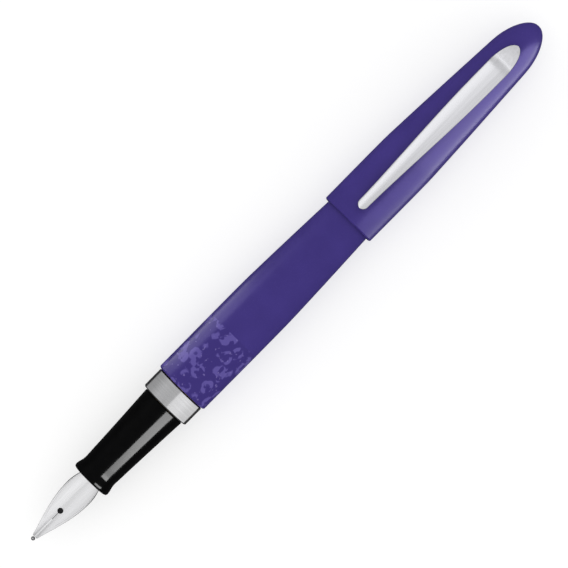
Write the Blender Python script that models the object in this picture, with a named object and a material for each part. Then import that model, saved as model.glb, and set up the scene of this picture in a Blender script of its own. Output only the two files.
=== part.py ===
"""Fountain pen with its cap posted on the barrel's tail, as separate pieces.

Frame: the pen lies along X, with its nib towards -X, its cap's crown towards +X and its pocket
clip on top (+Z). The origin is under the middle of the pen, on the surface that it lies on.
Lengths are in millimetres until MM turns them into metres. A station is a distance along the
pen's axis from the point of the nib, and a radius is a distance from that axis.
"""
import math

import bmesh
import bpy
from mathutils import Matrix

MM = 0.001
SIDES = 32
SMALL_SIDES = 24

# Lengths that show along the pen, from the point of the nib to the crown of the cap.
NIB_EXPOSED = 17.6
GRIP_LENGTH = 22.4
RING_LENGTH = 5.3
BARREL_LENGTH = 81.7
CAP_LENGTH = 58.0
OVERALL_LENGTH = 153.5

RING_FRONT = NIB_EXPOSED + GRIP_LENGTH
BARREL_FRONT = RING_FRONT + RING_LENGTH
BARREL_TAIL = BARREL_FRONT + BARREL_LENGTH
CAP_LIP = OVERALL_LENGTH - CAP_LENGTH
CAP_CROWN = OVERALL_LENGTH

# Radii and walls.
BARREL_RADIUS = 6.55
BARREL_WALL = 0.5
CAP_RADIUS = 6.6
CAP_WALL = 0.45
LINER_WALL = 0.4
RING_RADIUS = 6.05
GRIP_LIP_RADIUS = 4.68
GRIP_NECK_RADIUS = 4.28
GRIP_REAR_RADIUS = 5.2
GRIP_BORE = 3.7
GRIP_NECK = 20.3
SLEEVE_FRONT = 34.0
SLEEVE_FRONT_RADIUS = 4.25
SLEEVE_WAIST = 4.6
SLEEVE_BORE = 3.85
FACE_GAP = 0.15
FIT_GAP = 0.15
LOOSE_GAP = 0.3

# Taper of the barrel's tail and of the cap's crown.
BARREL_TAPER = {"start": 70.0, "end": 122.0, "drop": 2.2, "power": 1.25, "dome": 121.0}
CAP_TAPER = {"start": 113.0, "end": 143.0, "drop": 1.5, "power": 1.15, "dome": 144.5}
RIM_EDGE = 0.25
BARREL_END_WALL = 2.5

# The thread that holds the section in the barrel.
SECTION_PITCH = 1.25
SECTION_TURNS = 6
THREAD_LENGTH = SECTION_PITCH * SECTION_TURNS
THREAD_DEPTH = 0.3
THREAD_RADIUS = 4.95

# Nib, feed and the housing that carries them.
NIB_START = 0.95
NIB_END = 29.0
NIB_SHOULDER = 14.0
NIB_HALF_WIDTH = 3.4
NIB_TIP_HALF_WIDTH = 0.4
NIB_TAIL_RADIUS = 2.95
NIB_TAIL_HALF_WIDTH = 2.8
NIB_SHEET = 0.3
NIB_DROP = 1.75
NIB_LEVEL = 17.0
NIB_FLATTEST = NIB_SHOULDER - 1.5
NIB_FLATTENING = 1.0
BREATHER_STATION = 8.8
BREATHER_RADIUS = 0.65
SLIT_WIDTH = 0.14
TIPPING_RADIUS = 0.45
FEED_START = 6.2
FEED_END = 36.5
FEED_HALF_WIDTH = 2.4
FEED_BELLY = -2.85
FEED_RISE = 3.4
FEED_SIDE = 0.12
FIN_FIRST = 9.0
FIN_COUNT = 12
FIN_PITCH = 0.66
FIN_DEPTH = 0.6
HOUSING_RADIUS = 3.5
HOUSING_BORE = 3.05
HOUSING_FRONT = 18.9
HOUSING_REAR = 38.8
NIPPLE_RADIUS = 1.5
NIPPLE_BORE = 0.8
NIPPLE_END = 45.0

# Piston converter.
CONVERTER_FRONT = 40.6
CONVERTER_RADIUS = 3.65
CONVERTER_BORE = 3.0
MOUTH_FLANGE_END = 42.9
MOUTH_SPIGOT_END = 47.2
TUBE_END = 88.0
COLLAR_FRONT = 82.0
COLLAR_REAR = 97.2
COLLAR_RADIUS = 4.05
GUIDE_FRONT = 84.5
GUIDE_REAR = 89.5
KNOB_STEM_FRONT = 89.8
KNOB_REAR = 112.8
KNOB_RADIUS = 3.55
KNOB_STEM_RADIUS = 3.3
KNOB_BORE = 1.35
KNOB_BORE_END = 111.4
HEAD_FRONT = 48.5
HEAD_REAR = 53.3
HEAD_RADIUS = 2.85
ROD_FRONT = 51.2
ROD_REAR = 90.8
ROD_RADIUS = 1.1
ROD_FLAT = 0.8

# Cap liner and pocket clip.
LINER_FRONT = 101.2
LINER_REAR = 143.2
ANCHOR_FRONT = 143.7
ANCHOR_REAR = 150.0
CLIP_TIP = 98.8
CLIP_ROOT = 146.8
CLIP_ROLL = 139.0
CLIP_SHOULDER = 139.5
CLIP_TIP_ROUND = 1.2
CLIP_ROOT_ROUND = 6.5
CLIP_FOOT = 2.4
CLIP_END_THICKNESS = 0.5
CLIP_TOP = 9.1
CLIP_THICKNESS = 0.9
CLIP_HINGE = 145.0
CLIP_HINGE_HEIGHT = 5.0
TONGUE_LENGTH = 1.4
TONGUE_HALF_WIDTH = 1.1
TONGUE_BOTTOM = 2.9

# The lowest facets of the cap rest on the ground.
AXIS_HEIGHT = CAP_RADIUS * math.cos(math.pi / SIDES)

FINISHES = {
    "violet_lacquer": ((0.06, 0.038, 0.2), 0.3, 0.3),
    "polished_steel": ((0.78, 0.78, 0.8), 0.16, 1.0),
    "nib_steel": ((0.72, 0.72, 0.73), 0.25, 1.0),
    "tipping_alloy": ((0.8, 0.8, 0.8), 0.2, 1.0),
    "black_gloss": ((0.012, 0.012, 0.013), 0.12, 0.0),
    "black_matte": ((0.02, 0.02, 0.021), 0.5, 0.0),
    "brass": ((0.78, 0.58, 0.25), 0.3, 1.0),
    "clear_plastic": ((0.86, 0.89, 0.9), 0.08, 0.0),
    "grey_plastic": ((0.35, 0.35, 0.37), 0.4, 0.0),
    "white_seal": ((0.85, 0.85, 0.83), 0.45, 0.0),
}


def clear_scene():
    for old in list(bpy.data.objects):
        bpy.data.objects.remove(old)


def along(station):
    """The x coordinate of a station, in metres."""
    return (station - OVERALL_LENGTH / 2) * MM


def finish(name):
    """The material of one finish, made the first time that it is asked for."""
    found = bpy.data.materials.get(name)
    if found:
        return found
    colour, roughness, metallic = FINISHES[name]
    made = bpy.data.materials.new(name)
    made.use_nodes = True
    shader = made.node_tree.nodes["Principled BSDF"]
    shader.inputs["Base Color"].default_value = (*colour, 1.0)
    shader.inputs["Roughness"].default_value = roughness
    shader.inputs["Metallic"].default_value = metallic
    return made


def frame_empty(name, station, height=AXIS_HEIGHT):
    """An empty on the pen's axis, or on another joint's axis, that a body's pieces hang from."""
    empty = bpy.data.objects.new(name, None)
    empty.location = (along(station), 0.0, height * MM)
    empty.empty_display_size = 5 * MM
    bpy.context.collection.objects.link(empty)
    return empty


def make_object(name, bm, parent, finish_name):
    """Turn a bmesh, in pen coordinates about the axis, into one named object under its empty."""
    bmesh.ops.recalc_face_normals(bm, faces=bm.faces)
    mesh = bpy.data.meshes.new(name)
    bm.to_mesh(mesh)
    bm.free()
    mesh.materials.append(finish(finish_name))
    mesh.shade_smooth()
    mesh.set_sharp_from_angle(angle=math.radians(35))
    piece = bpy.data.objects.new(name, mesh)
    bpy.context.collection.objects.link(piece)
    piece.parent = parent
    return piece


def turned(name, outline, parent, finish_name, sides=SIDES):
    """Spin an outline of (station, radius) points about the axis.

    An outline that starts and ends on the axis makes a closed end. Any other one is a tube's
    wall, and is joined end to start.
    """
    origin = parent.location.x
    bm = bmesh.new()
    corners = []
    for station, radius in outline:
        corners.append(bm.verts.new((along(station) - origin, 0.0, radius * MM)))
    edges = [bm.edges.new(pair) for pair in zip(corners, corners[1:])]
    if outline[0][1] > 0 and outline[-1][1] > 0:
        edges.append(bm.edges.new((corners[-1], corners[0])))
    half_facet = Matrix.Rotation(math.pi / sides, 3, "X")
    bmesh.ops.rotate(bm, verts=corners, cent=(0, 0, 0), matrix=half_facet)
    bmesh.ops.spin(bm, geom=corners + edges, cent=(0, 0, 0), axis=(1, 0, 0),
                   angle=2 * math.pi, steps=sides, use_duplicate=False)
    bmesh.ops.remove_doubles(bm, verts=bm.verts, dist=0.0005 * MM)
    return make_object(name, bm, parent, finish_name)


def lofted(name, rings, parent, finish_name):
    """Join closed rings of (station, y, z) points, each with the same count, into one body."""
    origin = parent.location
    axis_height = AXIS_HEIGHT * MM
    bm = bmesh.new()
    loops = []
    for ring in rings:
        loops.append([bm.verts.new((along(s) - origin.x, y * MM, z * MM + axis_height - origin.z))
                      for s, y, z in ring])
    count = len(loops[0])
    for one, two in zip(loops, loops[1:]):
        for i in range(count):
            j = (i + 1) % count
            bm.faces.new((one[i], one[j], two[j], two[i]))
    half = count // 2
    for loop in (loops[0], loops[-1]):
        for i in range(half - 1):
            bm.faces.new((loop[i], loop[i + 1], loop[count - 2 - i], loop[count - 1 - i]))
    return make_object(name, bm, parent, finish_name)


def box_cutter(name, low, high, parent):
    """A hidden box between two corners (station, y, z), for a Boolean cut."""
    rings = []
    for station in (low[0], high[0]):
        rings.append([(station, low[1], low[2]), (station, high[1], low[2]),
                      (station, high[1], high[2]), (station, low[1], high[2])])
    return hide_cutter(lofted(name, rings, parent, "black_matte"))


def hide_cutter(cutter):
    cutter.hide_render = True
    cutter.display_type = "WIRE"
    return cutter


def cut(piece, cutter):
    """Take a cutter's shape out of a piece."""
    boolean = piece.modifiers.new("cut_" + cutter.name, "BOOLEAN")
    boolean.operation = "DIFFERENCE"
    boolean.solver = "EXACT"
    boolean.object = cutter


def spread(start, end, count):
    """Evenly spaced stations from start to end, both included."""
    return [start + (end - start) * i / (count - 1) for i in range(count)]


def tapered_radius(station, full_radius, taper, tail):
    """The radius of a straight body that tapers and then closes in a dome."""
    share = max(0.0, station - taper["start"]) / (taper["end"] - taper["start"])
    dome = max(0.0, station - taper["dome"]) / (tail - taper["dome"])
    radius = full_radius - taper["drop"] * share ** taper["power"]
    return radius * math.sqrt(max(0.0, 1 - dome * dome))


def barrel_radius(station):
    return tapered_radius(station, BARREL_RADIUS, BARREL_TAPER, BARREL_TAIL)


def cap_radius(station):
    return tapered_radius(station, CAP_RADIUS, CAP_TAPER, CAP_CROWN)


def dome_stations(taper, tail, steps):
    """Stations round a dome, closer together towards its end."""
    reach = tail - taper["dome"]
    return [taper["dome"] + reach * math.sin(math.pi / 2 * i / steps) for i in range(1, steps + 1)]


def ribbed(start, end, low, high, pitch):
    """The outline of a thread's crests and roots, as rings one pitch apart."""
    points = []
    station = start
    while station + pitch <= end + 1e-6:
        points += [(station + pitch * 0.1, low), (station + pitch * 0.35, high),
                   (station + pitch * 0.65, high), (station + pitch * 0.9, low)]
        station += pitch
    return points


def make_barrel(frame):
    outer = [(BARREL_FRONT, BARREL_RADIUS - RIM_EDGE), (BARREL_FRONT + RIM_EDGE, BARREL_RADIUS)]
    outer += [(s, barrel_radius(s)) for s in spread(BARREL_TAPER["start"], BARREL_TAPER["dome"], 8)]
    outer += [(s, barrel_radius(s)) for s in dome_stations(BARREL_TAPER, BARREL_TAIL, 5)]
    inner_end = BARREL_TAIL - BARREL_END_WALL
    inner = [(BARREL_FRONT, BARREL_RADIUS - BARREL_WALL)]
    inner += [(s, barrel_radius(s) - BARREL_WALL)
              for s in spread(BARREL_TAPER["start"], BARREL_TAPER["dome"], 6)]
    inner += [(inner_end, barrel_radius(inner_end) - BARREL_WALL), (inner_end, 0.0)]
    turned("barrel_shell", rim_first(outer, inner), frame, "violet_lacquer")

    bush_radius = BARREL_RADIUS - BARREL_WALL - FIT_GAP
    root = THREAD_RADIUS + FIT_GAP + THREAD_DEPTH
    start = BARREL_FRONT + LOOSE_GAP
    end = start + THREAD_LENGTH + SECTION_PITCH
    threads = ribbed(start, end, root, root - THREAD_DEPTH, SECTION_PITCH)
    wall = [(start, root)] + threads + [(end, root), (end, bush_radius), (start, bush_radius)]
    turned("barrel_bush", wall, frame, "brass", SMALL_SIDES)


def rim_first(outer, inner):
    """The outline of a cup that is open at its front: axis, inner wall, rim, outer wall, axis."""
    return list(reversed(inner)) + outer


def make_cap(frame):
    outer = [(CAP_LIP, CAP_RADIUS - RIM_EDGE), (CAP_LIP + RIM_EDGE, CAP_RADIUS)]
    outer += [(s, cap_radius(s)) for s in spread(CAP_TAPER["start"], CAP_TAPER["dome"], 7)]
    outer += [(s, cap_radius(s)) for s in dome_stations(CAP_TAPER, CAP_CROWN, 7)]
    inner_end = ANCHOR_REAR + FACE_GAP
    inner = [(CAP_LIP, CAP_RADIUS - CAP_WALL)]
    inner += [(s, cap_radius(s) - CAP_WALL)
              for s in spread(CAP_TAPER["start"], CAP_TAPER["dome"], 6)]
    inner += [(s, cap_radius(s) - CAP_WALL) for s in spread(CAP_TAPER["dome"] + 2, inner_end, 3)]
    inner += [(inner_end, 0.0)]
    shell = turned("cap_shell", rim_first(outer, inner), frame, "violet_lacquer")

    hidden = CAP_WALL + FIT_GAP
    liner_outer = [(LINER_FRONT, CAP_RADIUS - hidden)]
    liner_outer += [(s, cap_radius(s) - hidden) for s in spread(CAP_TAPER["start"], LINER_REAR, 6)]
    liner_outer += [(LINER_REAR, 0.0)]
    thick = hidden + LINER_WALL
    liner_floor = LINER_REAR - 0.6
    liner_inner = [(LINER_FRONT, CAP_RADIUS - thick)]
    liner_inner += [(s, cap_radius(s) - thick) for s in spread(CAP_TAPER["start"], liner_floor, 6)]
    liner_inner += [(liner_floor, 0.0)]
    turned("cap_liner", rim_first(liner_outer, liner_inner), frame, "black_matte")

    anchor_side = [(s, cap_radius(s) - hidden) for s in spread(ANCHOR_FRONT, ANCHOR_REAR, 5)]
    anchor_outline = [(ANCHOR_FRONT, 0.0)] + anchor_side + [(ANCHOR_REAR, 0.0)]
    anchor = turned("clip_anchor", anchor_outline, frame, "grey_plastic", SMALL_SIDES)

    slot_low = (CLIP_HINGE - TONGUE_LENGTH / 2 - LOOSE_GAP, -TONGUE_HALF_WIDTH - LOOSE_GAP,
                TONGUE_BOTTOM - LOOSE_GAP)
    slot_high = (CLIP_HINGE + TONGUE_LENGTH / 2 + LOOSE_GAP, TONGUE_HALF_WIDTH + LOOSE_GAP,
                 CAP_RADIUS + LOOSE_GAP)
    slot = box_cutter("clip_slot", slot_low, slot_high, frame)
    cut(shell, slot)
    cut(anchor, slot)


def clip_half_width(station):
    """Narrow and round at the free end, widest four fifths of the way up, round at the root."""
    share = (station - CLIP_TIP) / (CLIP_ROOT - CLIP_TIP)
    body = 1.15 + 1.3 * math.sin(math.pi / 2 * min(1.0, share / 0.8)) ** 1.6
    tip_end = min(1.0, (station - CLIP_TIP) / CLIP_TIP_ROUND)
    root_end = min(1.0, (CLIP_ROOT - station) / CLIP_ROOT_ROUND)
    rounding = math.sqrt(1 - (1 - tip_end) ** 2) * math.sqrt(1 - (1 - root_end) ** 2)
    return max(0.35, body * rounding)


def clip_bottom(station):
    """The underside: straight, with a foot at the free end and a shoulder down to the cap."""
    straight = CLIP_TOP - CLIP_THICKNESS
    foot_height = CAP_RADIUS + LOOSE_GAP
    foot = max(0.0, 1 - abs(station - CLIP_TIP - CLIP_FOOT) / CLIP_FOOT)
    shoulder = max(0.0, (station - CLIP_SHOULDER) / (CLIP_ROOT - CLIP_SHOULDER))
    lowered = straight - (straight - foot_height) * math.sin(math.pi / 2 * foot) ** 2
    seat = cap_radius(min(station, CLIP_ROOT)) + LOOSE_GAP
    return lowered + (seat - straight) * min(1.0, 1.6 * shoulder)


def clip_top(station):
    """The flat outer face, which rolls down to the cap at the root."""
    roll = max(0.0, (station - CLIP_ROLL) / (CLIP_ROOT - CLIP_ROLL))
    end_height = cap_radius(CLIP_ROOT) + LOOSE_GAP + CLIP_END_THICKNESS
    return CLIP_TOP - (CLIP_TOP - end_height) * roll ** 2


def make_clip(frame):
    stations = [CLIP_TIP, CLIP_TIP + 0.3, CLIP_TIP + 0.7, CLIP_TIP + 1.3]
    stations += spread(CLIP_TIP + CLIP_FOOT, CLIP_ROLL, 12)
    stations += spread(CLIP_ROLL, CLIP_ROOT, 7)[1:]
    rings = []
    for station in stations:
        half = clip_half_width(station)
        low, high = clip_bottom(station), clip_top(station)
        rings.append([(station, -half, low), (station, half, low),
                      (station, half, high), (station, -half, high)])
    blade = lofted("clip", rings, frame, "polished_steel")

    front = CLIP_HINGE - TONGUE_LENGTH / 2
    rear = CLIP_HINGE + TONGUE_LENGTH / 2
    overlap_top = clip_bottom(CLIP_HINGE) + 0.4
    tongue_rings = [[(s, -TONGUE_HALF_WIDTH, TONGUE_BOTTOM), (s, TONGUE_HALF_WIDTH, TONGUE_BOTTOM),
                     (s, TONGUE_HALF_WIDTH, overlap_top), (s, -TONGUE_HALF_WIDTH, overlap_top)]
                    for s in (front, rear)]
    tongue = hide_cutter(lofted("clip_tongue", tongue_rings, frame, "polished_steel"))
    union = blade.modifiers.new("tongue", "BOOLEAN")
    union.operation = "UNION"
    union.solver = "EXACT"
    union.object = tongue


def make_ring(frame):
    bore = SLEEVE_WAIST + FIT_GAP
    edge = 0.2
    front = RING_FRONT + FACE_GAP
    rear = BARREL_FRONT - FACE_GAP
    wall = [(front, bore), (front, RING_RADIUS - edge), (front + edge, RING_RADIUS),
            (rear - edge, RING_RADIUS), (rear, RING_RADIUS - edge), (rear, bore)]
    turned("section_ring", wall, frame, "polished_steel")


def grip_radius(station):
    """A waisted grip that swells towards the ring."""
    share = max(0.0, station - GRIP_NECK) / (RING_FRONT - GRIP_NECK)
    return GRIP_NECK_RADIUS + (GRIP_REAR_RADIUS - GRIP_NECK_RADIUS) * share ** 1.2


def make_section(frame):
    lip = [(NIB_EXPOSED, GRIP_BORE), (NIB_EXPOSED, GRIP_LIP_RADIUS - 0.4),
           (NIB_EXPOSED + 0.15, GRIP_LIP_RADIUS - 0.12), (NIB_EXPOSED + 0.5, GRIP_LIP_RADIUS),
           (NIB_EXPOSED + 1.1, GRIP_LIP_RADIUS - 0.05)]
    side = [(s, grip_radius(s)) for s in spread(GRIP_NECK, RING_FRONT - 0.2, 9)]
    rear = [(RING_FRONT, GRIP_REAR_RADIUS - 0.2), (RING_FRONT, SLEEVE_FRONT_RADIUS + FIT_GAP)]
    bore = [(SLEEVE_FRONT - FACE_GAP, SLEEVE_FRONT_RADIUS + FIT_GAP),
            (SLEEVE_FRONT - FACE_GAP, GRIP_BORE)]
    turned("grip_section", lip + side + rear + bore, frame, "black_gloss")

    thread_start = BARREL_FRONT + LOOSE_GAP
    thread_end = thread_start + THREAD_LENGTH
    root = THREAD_RADIUS - THREAD_DEPTH
    sleeve = [(SLEEVE_FRONT, SLEEVE_BORE), (SLEEVE_FRONT, SLEEVE_FRONT_RADIUS),
              (RING_FRONT + FACE_GAP, SLEEVE_FRONT_RADIUS), (RING_FRONT + FACE_GAP, SLEEVE_WAIST),
              (thread_start, SLEEVE_WAIST)]
    sleeve += ribbed(thread_start, thread_end, root, THREAD_RADIUS, SECTION_PITCH)
    sleeve += [(thread_end, root), (thread_end, SLEEVE_BORE)]
    turned("section_sleeve", sleeve, frame, "brass", SMALL_SIDES)

    inner_floor = HOUSING_REAR - 0.8
    housing = [(HOUSING_FRONT, HOUSING_BORE), (HOUSING_FRONT, HOUSING_RADIUS),
               (HOUSING_REAR, HOUSING_RADIUS), (HOUSING_REAR, NIPPLE_RADIUS),
               (NIPPLE_END - 0.5, NIPPLE_RADIUS), (NIPPLE_END, NIPPLE_RADIUS - 0.3),
               (NIPPLE_END, NIPPLE_BORE), (inner_floor, NIPPLE_BORE), (inner_floor, HOUSING_BORE)]
    turned("nib_housing", housing, frame, "black_matte", SMALL_SIDES)

    rod_radius = NIPPLE_BORE - FIT_GAP
    rod = [(FEED_END + LOOSE_GAP, 0.0), (FEED_END + LOOSE_GAP, rod_radius),
           (NIPPLE_END - 0.4, rod_radius), (NIPPLE_END - 0.4, 0.0)]
    turned("capillary_rod", rod, frame, "white_seal", 12)
    make_nib(frame)
    make_feed(frame)


def nib_crest(station):
    """The height of the nib's top line, which drops towards the point."""
    ahead = max(0.0, NIB_LEVEL - station) / NIB_LEVEL
    return NIB_TAIL_RADIUS - NIB_DROP * ahead ** 1.4


def nib_curl(station):
    """The radius that the sheet is bent to: flatter at the shoulder than in the housing."""
    reach = 9.0 if station < NIB_FLATTEST else HOUSING_FRONT - LOOSE_GAP - NIB_FLATTEST
    bump = max(0.0, 1 - abs(station - NIB_FLATTEST) / reach)
    return NIB_TAIL_RADIUS + NIB_FLATTENING * math.sin(math.pi / 2 * bump)


def nib_half_width(station):
    if station <= NIB_SHOULDER:
        share = math.sin(math.pi / 2 * station / NIB_SHOULDER)
        return NIB_TIP_HALF_WIDTH + (NIB_HALF_WIDTH - NIB_TIP_HALF_WIDTH) * share ** 1.15
    settle = min(1.0, (station - NIB_SHOULDER) / (NIB_EXPOSED - NIB_SHOULDER))
    return NIB_HALF_WIDTH + (NIB_TAIL_HALF_WIDTH - NIB_HALF_WIDTH) * settle ** 2


def sheet_row(station, inset, half_width, count=11):
    """Points across the bent sheet, a distance inside its outer face."""
    radius = nib_curl(station) - inset
    centre = nib_crest(station) - nib_curl(station)
    reach = math.asin(min(0.98, half_width / nib_curl(station)))
    row = []
    for i in range(count):
        angle = reach * (2 * i / (count - 1) - 1)
        row.append((station, radius * math.sin(angle), centre + radius * math.cos(angle)))
    return row


def make_nib(frame):
    stations = [NIB_START, 1.8, 3.0, 4.5, 6.0, 7.6, 9.2, 10.8, 12.4, NIB_SHOULDER,
                15.2, 16.3, 17.2, 18.0, 18.7, 22.0, NIB_END]
    rings = []
    for station in stations:
        half = nib_half_width(station)
        outer = sheet_row(station, 0.0, half)
        inner = sheet_row(station, NIB_SHEET, half)
        rings.append(outer + list(reversed(inner)))
    nib = lofted("nib", rings, frame, "nib_steel")

    half_slit = SLIT_WIDTH / 2
    cut(nib, box_cutter("nib_slit", (NIB_START - 1, -half_slit, -1.0),
                        (BREATHER_STATION, half_slit, NIB_TAIL_RADIUS + 1), frame))
    cut(nib, breather_cutter(frame))

    tip_height = nib_crest(NIB_START) - NIB_SHEET / 2
    ball = bmesh.new()
    bmesh.ops.create_uvsphere(ball, u_segments=16, v_segments=10, radius=TIPPING_RADIUS * MM)
    shift = (along(TIPPING_RADIUS) - frame.location.x, 0.0, tip_height * MM)
    bmesh.ops.translate(ball, verts=ball.verts, vec=shift)
    make_object("nib_tipping", ball, frame, "tipping_alloy")


def breather_cutter(frame):
    bm = bmesh.new()
    bmesh.ops.create_cone(bm, cap_ends=True, segments=20, radius1=BREATHER_RADIUS * MM,
                          radius2=BREATHER_RADIUS * MM, depth=6 * MM)
    shift = (along(BREATHER_STATION) - frame.location.x, 0.0, NIB_TAIL_RADIUS * MM)
    bmesh.ops.translate(bm, verts=bm.verts, vec=shift)
    return hide_cutter(make_object("breather_hole", bm, frame, "black_matte"))


def feed_belly(station, grooved):
    """The height of the feed's underside, raised inside each groove between two fins."""
    ahead = max(0.0, NIB_EXPOSED - station) / (NIB_EXPOSED - FEED_START)
    belly = FEED_BELLY + FEED_RISE * ahead ** 1.6
    return belly + (FIN_DEPTH if grooved else 0.0)


def feed_ring(station, grooved):
    """A section of the feed: it follows the nib above and is a half ellipse below."""
    radius = nib_curl(station) - NIB_SHEET - FIT_GAP
    centre = nib_crest(station) - nib_curl(station)
    half = min(radius * 0.96, nib_half_width(station) - 0.45, FEED_HALF_WIDTH)
    across = [half * (2 * i / 8 - 1) for i in range(9)]
    top = [(station, y, centre + math.sqrt(radius * radius - y * y)) for y in across]
    edge = top[0][2]
    depth = edge - feed_belly(station, grooved)
    below = []
    for i in range(9):
        angle = math.pi * i / 8
        drop = FEED_SIDE + (depth - FEED_SIDE) * math.sin(angle)
        below.append((station, half * math.cos(angle), edge - drop))
    return top + below


def make_feed(frame):
    rings = [feed_ring(s, False) for s in (FEED_START, 7.0, 8.2)]
    wall = 0.04
    for fin in range(FIN_COUNT):
        start = FIN_FIRST + fin * FIN_PITCH
        end = start + FIN_PITCH / 2
        rings += [feed_ring(start, False), feed_ring(start + wall, True),
                  feed_ring(end, True), feed_ring(end + wall, False)]
    rings += [feed_ring(s, False) for s in (NIB_EXPOSED, 18.8, 22.0, NIB_END, FEED_END)]
    lofted("feed", rings, frame, "black_matte")


def make_converter(frame):
    spigot = CONVERTER_BORE - FIT_GAP
    bore = NIPPLE_RADIUS + FIT_GAP
    mouth = [(CONVERTER_FRONT, bore), (CONVERTER_FRONT, CONVERTER_RADIUS),
             (MOUTH_FLANGE_END, CONVERTER_RADIUS), (MOUTH_FLANGE_END, spigot),
             (MOUTH_SPIGOT_END, spigot), (MOUTH_SPIGOT_END, bore)]
    turned("converter_mouth", mouth, frame, "grey_plastic", SMALL_SIDES)

    front = MOUTH_FLANGE_END + FACE_GAP
    tube = [(front, CONVERTER_BORE), (front, CONVERTER_RADIUS),
            (TUBE_END, CONVERTER_RADIUS), (TUBE_END, CONVERTER_BORE)]
    turned("converter_tube", tube, frame, "clear_plastic", SMALL_SIDES)

    collar_bore = CONVERTER_RADIUS + FIT_GAP
    collar = [(COLLAR_FRONT, collar_bore), (COLLAR_FRONT, COLLAR_RADIUS),
              (COLLAR_REAR, COLLAR_RADIUS), (COLLAR_REAR, collar_bore)]
    turned("converter_collar", collar, frame, "polished_steel", SMALL_SIDES)

    flange_front = TUBE_END + FACE_GAP
    guide = [(GUIDE_FRONT, 0.0), (GUIDE_FRONT, spigot), (flange_front, spigot),
             (flange_front, CONVERTER_RADIUS), (GUIDE_REAR, CONVERTER_RADIUS), (GUIDE_REAR, 0.0)]
    guide_piece = turned("rod_guide", guide, frame, "grey_plastic", SMALL_SIDES)
    keyway = lofted("guide_keyway", [flat_sided(s, FIT_GAP) for s in (GUIDE_FRONT - 1, GUIDE_REAR + 1)],
                    frame, "black_matte")
    cut(guide_piece, hide_cutter(keyway))


def flat_sided(station, gap):
    """A round bar's section with two flats, grown by a gap."""
    radius, flat = ROD_RADIUS + gap, ROD_FLAT + gap
    ring = []
    for i in range(16):
        angle = 2 * math.pi * (i + 0.5) / 16
        y = max(-flat, min(flat, radius * math.cos(angle)))
        ring.append((station, y, radius * math.sin(angle)))
    return ring


def make_knob(frame):
    stem_end = COLLAR_REAR + LOOSE_GAP
    edge = 0.5
    outline = [(KNOB_BORE_END, 0.0), (KNOB_BORE_END, KNOB_BORE), (KNOB_STEM_FRONT, KNOB_BORE),
               (KNOB_STEM_FRONT, KNOB_STEM_RADIUS), (stem_end, KNOB_STEM_RADIUS),
               (stem_end, KNOB_RADIUS), (KNOB_REAR - edge, KNOB_RADIUS),
               (KNOB_REAR, KNOB_RADIUS - edge), (KNOB_REAR, 0.0)]
    turned("converter_knob", outline, frame, "black_gloss", SMALL_SIDES)


def make_piston(frame):
    waist = HEAD_RADIUS - 0.45
    lip = 0.8
    socket = ROD_RADIUS + FIT_GAP
    socket_end = ROD_FRONT - FACE_GAP
    head = [(HEAD_FRONT, 0.0), (HEAD_FRONT, HEAD_RADIUS), (HEAD_FRONT + lip, HEAD_RADIUS),
            (HEAD_FRONT + 2 * lip, waist), (HEAD_REAR - 2 * lip, waist),
            (HEAD_REAR - lip, HEAD_RADIUS), (HEAD_REAR, HEAD_RADIUS), (HEAD_REAR, socket),
            (socket_end, socket), (socket_end, 0.0)]
    turned("piston_head", head, frame, "white_seal", SMALL_SIDES)
    lofted("piston_rod", [flat_sided(s, 0.0) for s in (ROD_FRONT, ROD_REAR)], frame, "grey_plastic")


def main():
    clear_scene()
    barrel = frame_empty("barrel_frame", BARREL_FRONT)
    make_barrel(barrel)
    cap = frame_empty("cap_frame", CAP_LIP)
    make_cap(cap)
    make_clip(frame_empty("clip_hinge", CLIP_HINGE, AXIS_HEIGHT + CLIP_HINGE_HEIGHT))
    make_ring(frame_empty("ring_frame", RING_FRONT))
    make_section(frame_empty("section_frame", RING_FRONT))
    converter = frame_empty("converter_frame", CONVERTER_FRONT)
    make_converter(converter)
    make_knob(frame_empty("knob_frame", KNOB_STEM_FRONT))
    make_piston(frame_empty("piston_frame", HEAD_FRONT))


main()
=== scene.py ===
"""Looks for the fountain pen: fine turned surfaces, nib, feed, clip, threads and materials.

The pen lies along X, nib towards -X, with the clip on top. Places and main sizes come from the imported
frame, and the sizes of details are named here, in millimetres. A station is a distance along the pen
from the nib's point, in millimetres. Blender works in metres, and MM turns millimetres into them.
"""
import math

import bmesh
import bpy
from mathutils import Matrix, Vector


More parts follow.
